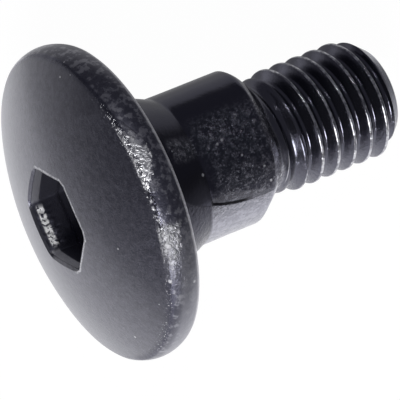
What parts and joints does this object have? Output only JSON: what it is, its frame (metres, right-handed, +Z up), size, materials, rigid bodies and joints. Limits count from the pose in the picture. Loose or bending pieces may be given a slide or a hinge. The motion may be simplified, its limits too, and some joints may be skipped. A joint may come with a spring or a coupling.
{
  "type": "screw",
  "caption": "Domed flat-head shoulder screw in black finished steel: hex socket in a wide dome, plain shoulder, short coarse right-hand thread.",
  "frame": {"origin": "middle of the lying screw's outline, on the surface that it lies on", "axes": "+X from the head to the tip as seen from above, +Z up; the screw's own axis dips 18.5 degrees below +X towards the tip"},
  "size_m": [0.0252, 0.021, 0.0201],
  "materials": {
    "black_steel": "black oxide over forged and rolled steel, satin on the dome and glossy on the shoulder and thread, worn to bare speckles along the dome's edge"
  },
  "bodies": {
    "root": {"screw": "black_steel"}
  },
  "joints": []
}
